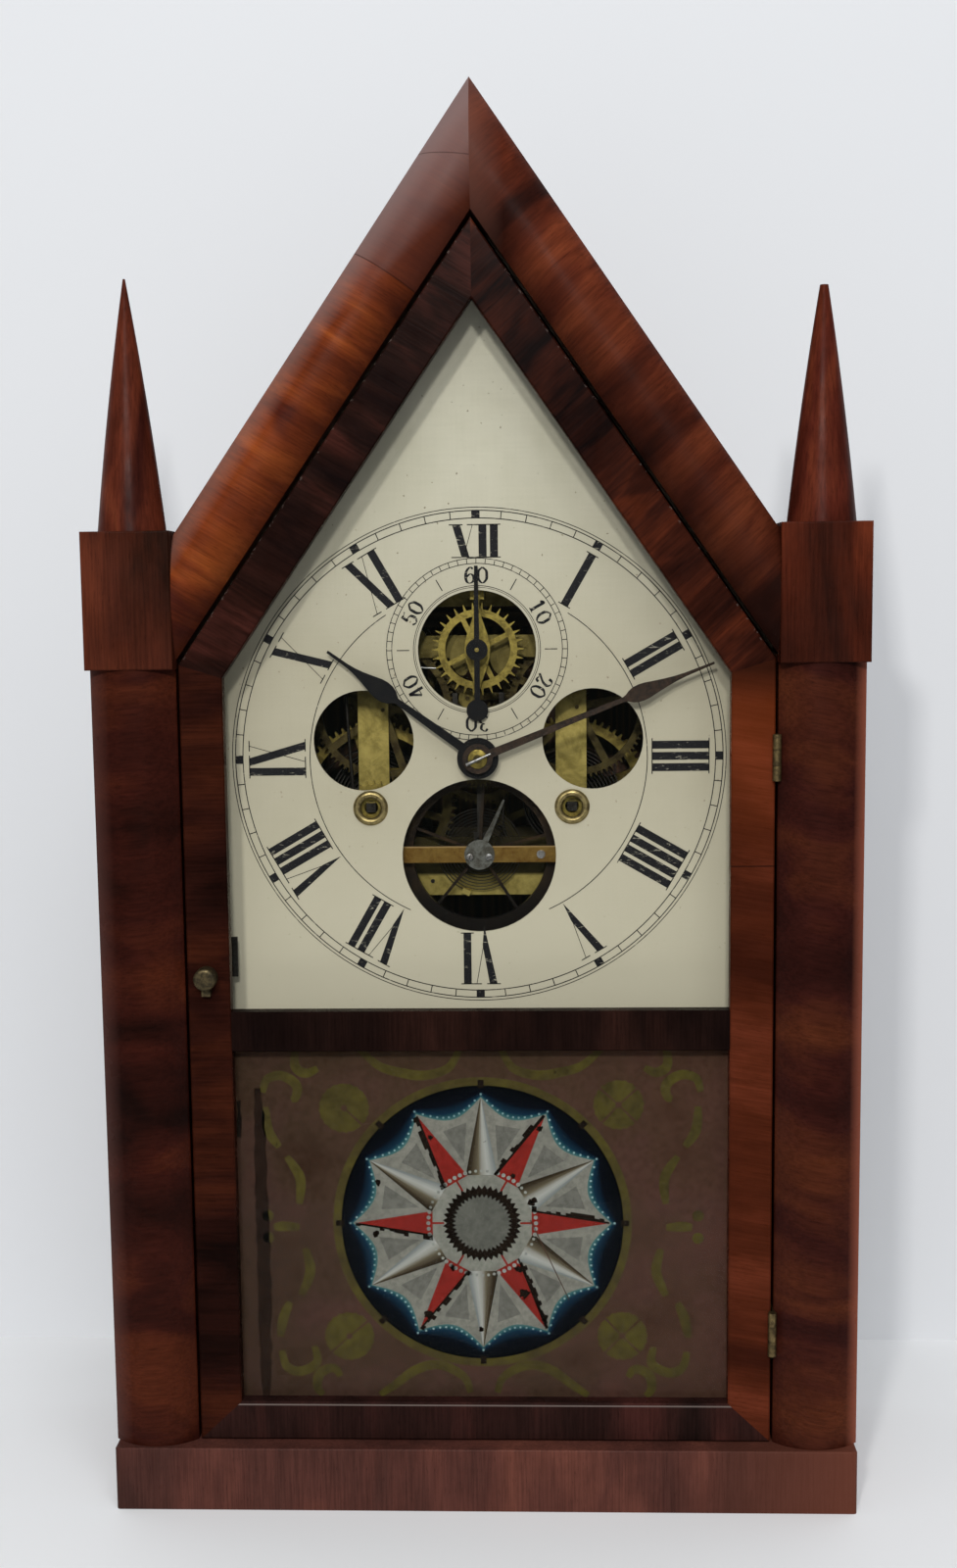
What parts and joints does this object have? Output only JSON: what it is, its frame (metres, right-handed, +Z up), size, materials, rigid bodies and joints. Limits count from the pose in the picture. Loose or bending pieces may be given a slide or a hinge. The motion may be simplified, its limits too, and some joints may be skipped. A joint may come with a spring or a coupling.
{
  "type": "steeple clock",
  "caption": "Gothic steeple shelf clock: gabled wooden case between spired columns, glazed door with painted tablet, pierced dial over a balance movement with strike.",
  "frame": {"origin": "middle of the base's underside, on the surface that the clock stands on", "axes": "+X to the right as one faces the dial, +Y from the front to the back, +Z up"},
  "size_m": [0.3356, 0.12, 0.622],
  "materials": {
    "mahogany_veneer": "gloss",
    "stained_pine": "matte",
    "painted_dial": "satin",
    "clear_glass": "gloss",
    "painted_glass": "gloss",
    "brass": "satin",
    "steel": "satin",
    "blued_steel": "satin",
    "browned_steel": "satin",
    "cast_iron": "matte"
  },
  "bodies": {
    "case": {"base": "mahogany_veneer", "back_board": "stained_pine", "side_boards": "stained_pine", "left_roof_board": "stained_pine", "right_roof_board": "stained_pine", "left_column": "mahogany_veneer", "right_column": "mahogany_veneer", "left_cap_block": "mahogany_veneer", "right_cap_block": "mahogany_veneer", "left_gable_moulding": "mahogany_veneer", "right_gable_moulding": "mahogany_veneer", "left_spire": "mahogany_veneer", "right_spire": "mahogany_veneer", "dial_cleats": "stained_pine", "dial_panel": "painted_dial", "wood_screws": "steel", "winding_grommets": "brass", "movement_rails": "stained_pine", "case_hinge_leaves": "brass", "gong": "blued_steel", "gong_stand": "cast_iron", "front_plate": "brass", "back_plate": "brass", "mainsprings": "blued_steel", "escape_bridge": "brass", "balance_cock": "brass", "regulator": "steel", "bridge_screws": "steel", "hairspring": "blued_steel"},
    "door": {"door_left_stile": "mahogany_veneer", "door_right_stile": "mahogany_veneer", "door_left_gable_rail": "mahogany_veneer", "door_right_gable_rail": "mahogany_veneer", "door_mid_rail": "mahogany_veneer", "door_bottom_rail": "mahogany_veneer", "dial_glass": "clear_glass", "tablet_glass": "painted_glass", "door_hinge_leaves": "brass"},
    "latch": {"latch_knob": "brass", "latch_hook": "steel"},
    "centre": {"centre_wheel": "brass", "minute_hand": "browned_steel"},
    "minute_motion": {"minute_wheel": "brass"},
    "hour": {"hour_wheel": "brass", "hour_hand": "blued_steel"},
    "intermediate": {"intermediate_wheel": "brass"},
    "time_great": {"time_great_wheel": "brass"},
    "third": {"third_wheel": "brass"},
    "escape": {"escape_wheel": "brass", "seconds_hand": "blued_steel"},
    "time_winding": {"time_winding_arbor": "steel"},
    "pallets": {"pallet_lever": "steel"},
    "balance": {"balance_wheel": "brass"},
    "strike_great": {"strike_great_wheel": "brass"},
    "count": {"count_wheel": "brass"},
    "pins": {"pin_wheel": "brass"},
    "warning": {"warning_wheel": "brass"},
    "fly_body": {"fly": "brass"},
    "strike_winding": {"strike_winding_arbor": "steel"},
    "hammer_body": {"hammer": "steel"}
  },
  "joints": [
    {"name": "door_hinge", "type": "hinge", "parent": "case", "child": "door", "pos_m": [0.12905, -0.0531, 0.03], "axis": [0, 0, 1], "range_deg": [0, 110]},
    {"name": "latch_turn", "type": "hinge", "parent": "door", "child": "latch", "pos_m": [-0.12, -0.043, 0.2431], "axis": [0, 1, 0], "range_deg": [0, 90]},
    {"name": "centre_turn", "type": "hinge", "parent": "case", "child": "centre", "pos_m": [0, 0, 0.337], "axis": [0, 1, 0], "continuous": true},
    {"name": "minute_motion_turn", "type": "hinge", "parent": "case", "child": "minute_motion", "pos_m": [-0.0155, -0.018, 0.341], "axis": [0, 1, 0], "continuous": true},
    {"name": "hour_turn", "type": "hinge", "parent": "case", "child": "hour", "pos_m": [0, -0.024, 0.337], "axis": [0, 1, 0], "continuous": true},
    {"name": "intermediate_turn", "type": "hinge", "parent": "case", "child": "intermediate", "pos_m": [0.0445, 0.017, 0.358], "axis": [0, 1, 0], "continuous": true},
    {"name": "time_great_turn", "type": "hinge", "parent": "case", "child": "time_great", "pos_m": [0.0418, 0.028, 0.3147], "axis": [0, 1, 0], "continuous": true},
    {"name": "third_turn", "type": "hinge", "parent": "case", "child": "third", "pos_m": [-0.0052, 0.017, 0.3625], "axis": [0, 1, 0], "continuous": true},
    {"name": "escape_turn", "type": "hinge", "parent": "case", "child": "escape", "pos_m": [0, 0, 0.3849], "axis": [0, 1, 0], "continuous": true},
    {"name": "time_winding_turn", "type": "hinge", "parent": "case", "child": "time_winding", "pos_m": [0.0418, 0, 0.3147], "axis": [0, 1, 0], "continuous": true},
    {"name": "pallet_rock", "type": "hinge", "parent": "case", "child": "pallets", "pos_m": [0, -0.01, 0.3536], "axis": [0, 1, 0], "range_deg": [-3, 3]},
    {"name": "balance_swing", "type": "hinge", "parent": "case", "child": "balance", "pos_m": [0, -0.011, 0.2928], "axis": [0, 1, 0], "range_deg": [-150, 150], "stiffness_Nm_per_rad": 0.0005},
    {"name": "strike_great_turn", "type": "hinge", "parent": "case", "child": "strike_great", "pos_m": [-0.0485, 0.006, 0.3147], "axis": [0, 1, 0], "continuous": true},
    {"name": "count_turn", "type": "hinge", "parent": "case", "child": "count", "pos_m": [-0.0694, -0.007, 0.3001], "axis": [0, 1, 0], "continuous": true},
    {"name": "pin_wheel_turn", "type": "hinge", "parent": "case", "child": "pins", "pos_m": [-0.044, 0.017, 0.3575], "axis": [0, 1, 0], "continuous": true},
    {"name": "warning_turn", "type": "hinge", "parent": "case", "child": "warning", "pos_m": [-0.044, 0.017, 0.39389], "axis": [0, 1, 0], "continuous": true},
    {"name": "fly_turn", "type": "hinge", "parent": "case", "child": "fly_body", "pos_m": [-0.02763, 0.017, 0.39011], "axis": [0, 1, 0], "continuous": true},
    {"name": "strike_winding_turn", "type": "hinge", "parent": "case", "child": "strike_winding", "pos_m": [-0.0485, 0, 0.3147], "axis": [0, 1, 0], "continuous": true},
    {"name": "hammer_lift", "type": "hinge", "parent": "case", "child": "hammer_body", "pos_m": [-0.0222, 0.017, 0.2785], "axis": [0, 1, 0], "range_deg": [0, 10]}
  ],
  "couplings": [
    {"joint": "minute_motion_turn", "follows": "centre_turn", "ratio": -0.33333},
    {"joint": "hour_turn", "follows": "centre_turn", "ratio": 0.083333},
    {"joint": "intermediate_turn", "follows": "centre_turn", "ratio": -0.52564},
    {"joint": "time_great_turn", "follows": "centre_turn", "ratio": 0.095571},
    {"joint": "third_turn", "follows": "centre_turn", "ratio": -8},
    {"joint": "escape_turn", "follows": "centre_turn", "ratio": 60},
    {"joint": "count_turn", "follows": "strike_great_turn", "ratio": -0.66667},
    {"joint": "pin_wheel_turn", "follows": "strike_great_turn", "ratio": -5.5},
    {"joint": "warning_turn", "follows": "strike_great_turn", "ratio": 42.9},
    {"joint": "fly_turn", "follows": "strike_great_turn", "ratio": -214.5}
  ]
}
